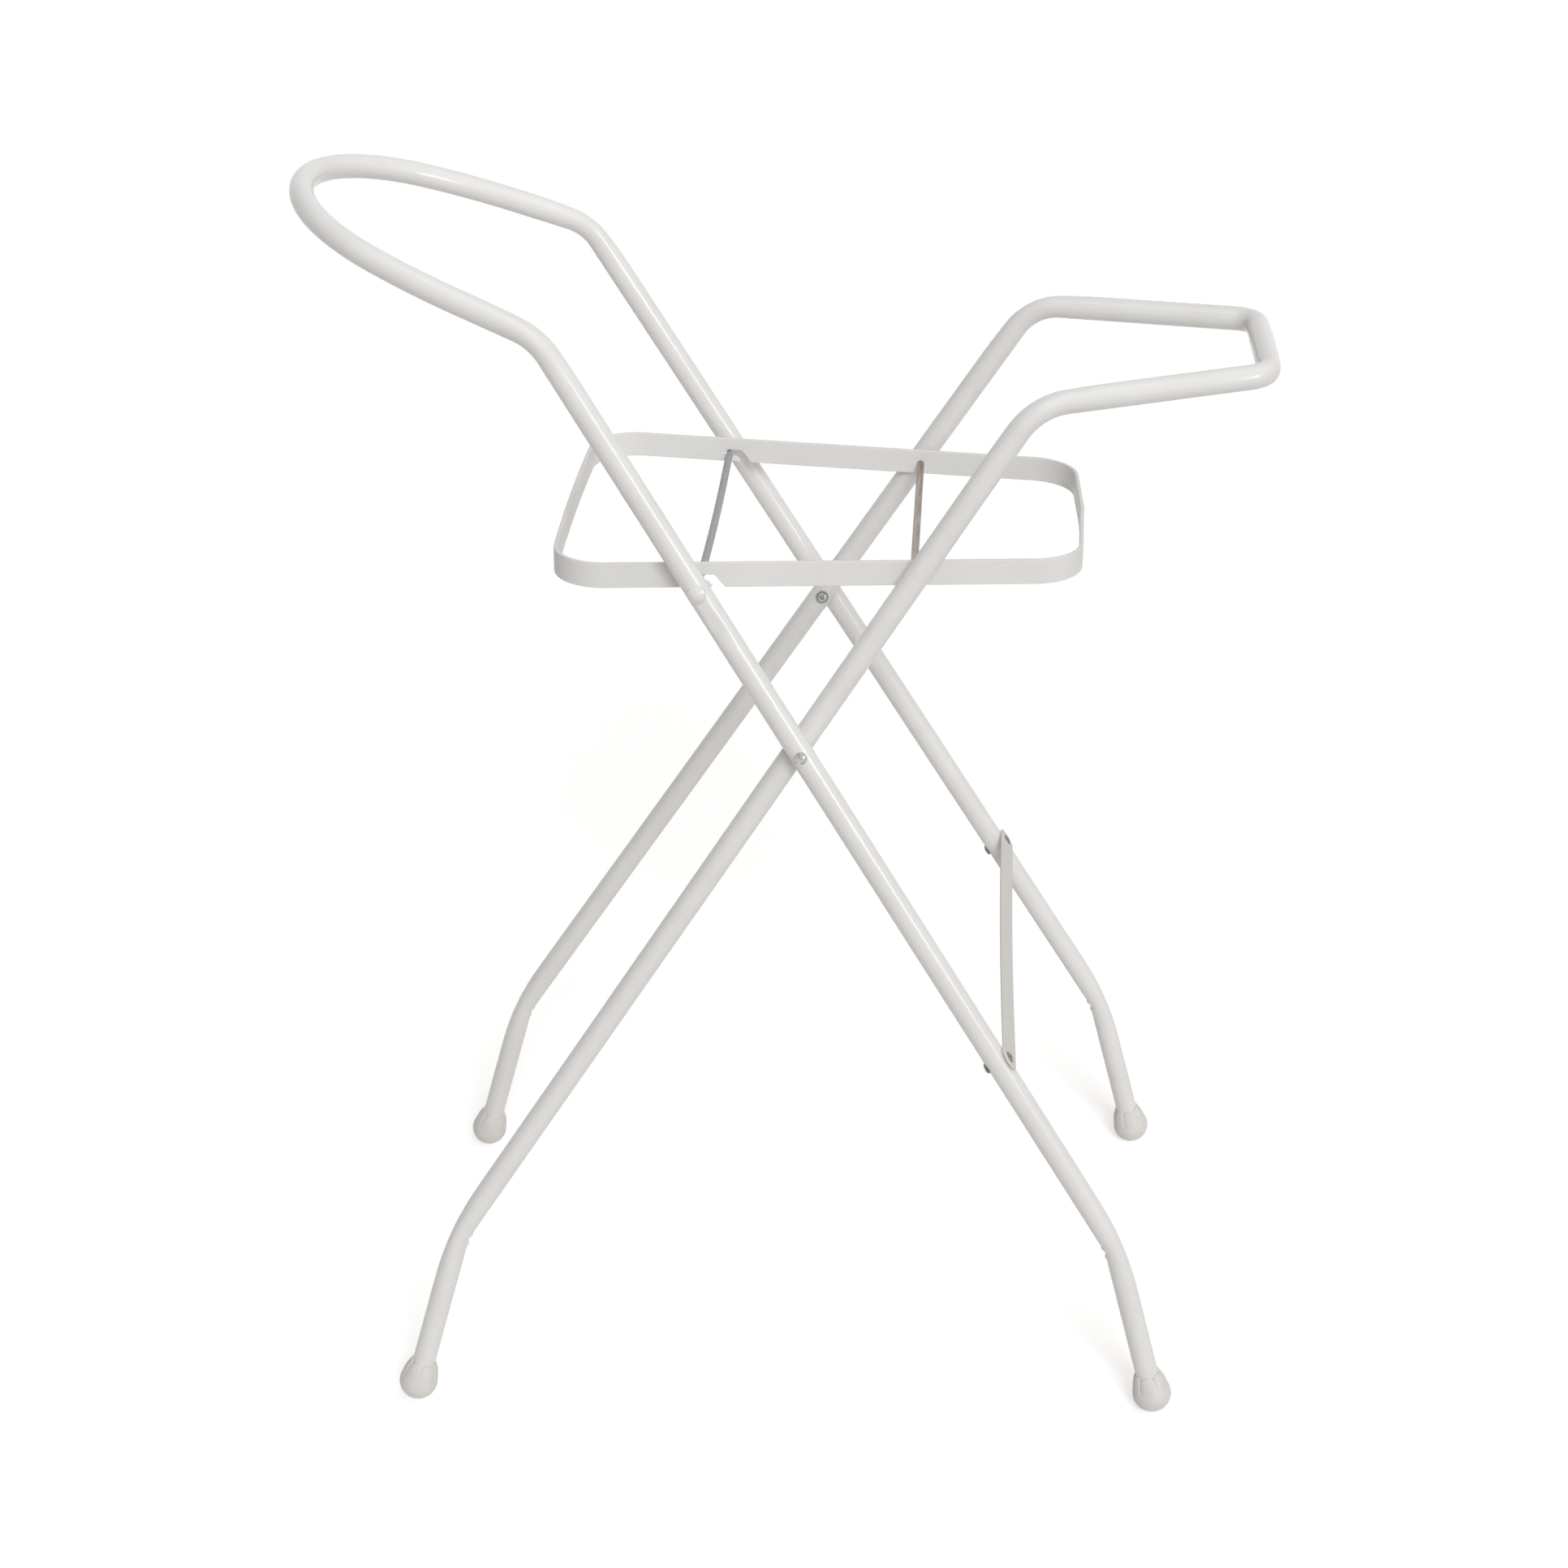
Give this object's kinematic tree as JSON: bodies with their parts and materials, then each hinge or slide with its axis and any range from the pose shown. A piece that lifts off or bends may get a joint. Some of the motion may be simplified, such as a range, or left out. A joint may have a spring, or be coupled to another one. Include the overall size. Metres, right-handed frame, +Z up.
{
  "type": "baby bath stand",
  "caption": "Folding floor stand for a baby bath: crossed bent-tube frames with a round and a square head, locked by a hooked flat-steel ring.",
  "frame": {"origin": "centre of the overall box, on the floor", "axes": "+X from the round head towards the square head, +Y across the stand towards its back, +Z up"},
  "size_m": [0.7556, 0.4516, 1.0042],
  "materials": {
    "coated_tube": "white powder coat, soft gloss",
    "coated_strip": "white powder coat, satin",
    "coated_cap": "white powder coat over the rod's formed end",
    "bare_steel": "bare drawn steel",
    "grey_sleeve": "grey sleeve",
    "plated_rivet": "zinc-plated, shiny",
    "grey_washer": "dull grey",
    "white_plastic": "white, moulded",
    "soft_foot": "off-white soft plastic, satin"
  },
  "bodies": {
    "outer_frame": {"outer_frame": "coated_tube", "locking_rod": "bare_steel", "rod_sleeve": "grey_sleeve", "rod_cap_front": "coated_cap", "rod_cap_back": "coated_cap", "pivot_rivet_front": "plated_rivet", "pivot_rivet_back": "plated_rivet", "pivot_spacer_front": "white_plastic", "pivot_spacer_back": "white_plastic", "rivet_washer_front": "grey_washer", "rivet_washer_back": "grey_washer", "leg_brace": "coated_strip", "brace_rivet_front": "plated_rivet", "brace_rivet_back": "plated_rivet", "foot_outer_front": "soft_foot", "foot_outer_back": "soft_foot"},
    "inner_frame": {"inner_frame": "coated_tube", "ring_axle": "bare_steel", "axle_bush_front": "white_plastic", "axle_bush_back": "white_plastic", "foot_inner_front": "soft_foot", "foot_inner_back": "soft_foot"},
    "support_ring": {"support_ring": "coated_strip"}
  },
  "joints": [
    {"name": "frame_fold", "type": "hinge", "parent": "outer_frame", "child": "inner_frame", "pos_m": [0.01131, 0, 0.5875], "axis": [0, -1, 0], "range_deg": [0, 54]},
    {"name": "ring_swing", "type": "hinge", "parent": "inner_frame", "child": "support_ring", "pos_m": [0.09847, 0, 0.71361], "axis": [0, 1, 0], "range_deg": [0, 54]}
  ],
  "couplings": [
    {"joint": "ring_swing", "follows": "frame_fold", "ratio": 1}
  ]
}
